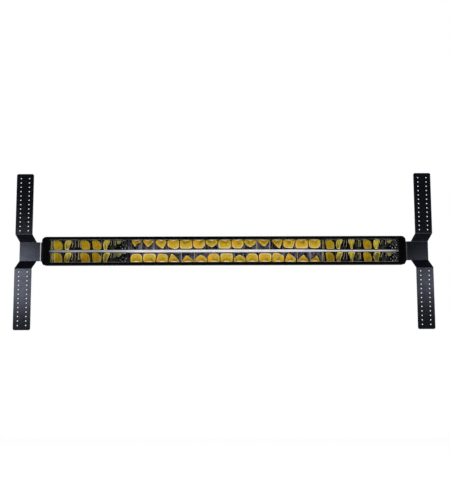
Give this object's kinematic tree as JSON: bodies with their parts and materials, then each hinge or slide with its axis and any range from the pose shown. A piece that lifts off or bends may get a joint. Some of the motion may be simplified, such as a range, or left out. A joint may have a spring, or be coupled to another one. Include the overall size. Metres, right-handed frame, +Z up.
{
  "type": "led light bar",
  "caption": "Long straight double-row LED driving light bar with a clear window, reflector cells, finned housing and a tilting perforated bracket at each end.",
  "frame": {"origin": "middle of the bar's length, height and depth, on the axis of the two bracket pivots", "axes": "+X along the bar to its right end as seen from in front, -Y the way the light shines, +Z up"},
  "size_m": [1.245, 0.094, 0.4684],
  "materials": {
    "bezel_black": "glossy black moulding",
    "clear_lens": "clear moulded cover",
    "seal_rubber": "matt black",
    "black_screw": "black oxide",
    "body_black": "satin black powder coat on an extrusion",
    "cap_black": "satin black powder coat on a casting",
    "bright_trim": "polished and bright anodised",
    "zinc_steel": "zinc plated",
    "circuit_board": "green solder mask",
    "brass_part": "plain",
    "capacitor_can": "sleeved can",
    "ferrite": "coated ferrite",
    "chip_plastic": "moulded",
    "lead_red": "insulated lead",
    "gland_plastic": "moulded nylon",
    "reflector_chrome": "bright metallised",
    "led_board_white": "white solder mask",
    "thermal_pad": "grey silicone",
    "phosphor_yellow": "yellow phosphor under a clear dome",
    "bracket_black": "satin black powder coat",
    "washer_nylon": "black nylon"
  },
  "bodies": {
    "bar": {"bezel_screws": "black_screw", "board_leads": "lead_red", "board_screws": "zinc_steel", "driver_board": "circuit_board", "driver_capacitors": "capacitor_can", "driver_chips": "chip_plastic", "driver_inductors": "ferrite", "driver_screws": "zinc_steel", "driver_standoffs": "brass_part", "end_cap_screws": "black_screw", "front_bezel": "bezel_black", "gland_body": "gland_plastic", "gland_nut": "gland_plastic", "housing": "body_black", "left_end_cap": "cap_black", "left_end_seal": "seal_rubber", "left_friction_washer": "washer_nylon", "left_lock_bolt": "zinc_steel", "left_lock_washer": "zinc_steel", "left_pivot_bolt": "zinc_steel", "left_pivot_washer": "zinc_steel", "lens": "clear_lens", "lens_seal": "seal_rubber", "lower_centre_reflector": "reflector_chrome", "lower_led_board": "led_board_white", "lower_leds": "phosphor_yellow", "lower_left_reflector": "reflector_chrome", "lower_right_reflector": "reflector_chrome", "lower_thermal_pad": "thermal_pad", "right_end_cap": "cap_black", "right_end_seal": "seal_rubber", "right_friction_washer": "washer_nylon", "right_lock_bolt": "zinc_steel", "right_lock_washer": "zinc_steel", "right_pivot_bolt": "zinc_steel", "right_pivot_washer": "zinc_steel", "row_divider": "bright_trim", "supply_leads": "lead_red", "upper_centre_reflector": "reflector_chrome", "upper_led_board": "led_board_white", "upper_leds": "phosphor_yellow", "upper_left_reflector": "reflector_chrome", "upper_right_reflector": "reflector_chrome", "upper_thermal_pad": "thermal_pad", "vent_plug": "gland_plastic"},
    "left_mount": {"left_bracket": "bracket_black"},
    "right_mount": {"right_bracket": "bracket_black"}
  },
  "joints": [
    {"name": "left_bracket_tilt", "type": "hinge", "parent": "bar", "child": "left_mount", "pos_m": [-0.547, 0, 0], "axis": [1, 0, 0], "range_deg": [-25, 25]},
    {"name": "right_bracket_tilt", "type": "hinge", "parent": "bar", "child": "right_mount", "pos_m": [0.547, 0, 0], "axis": [1, 0, 0], "range_deg": [-25, 25]}
  ]
}
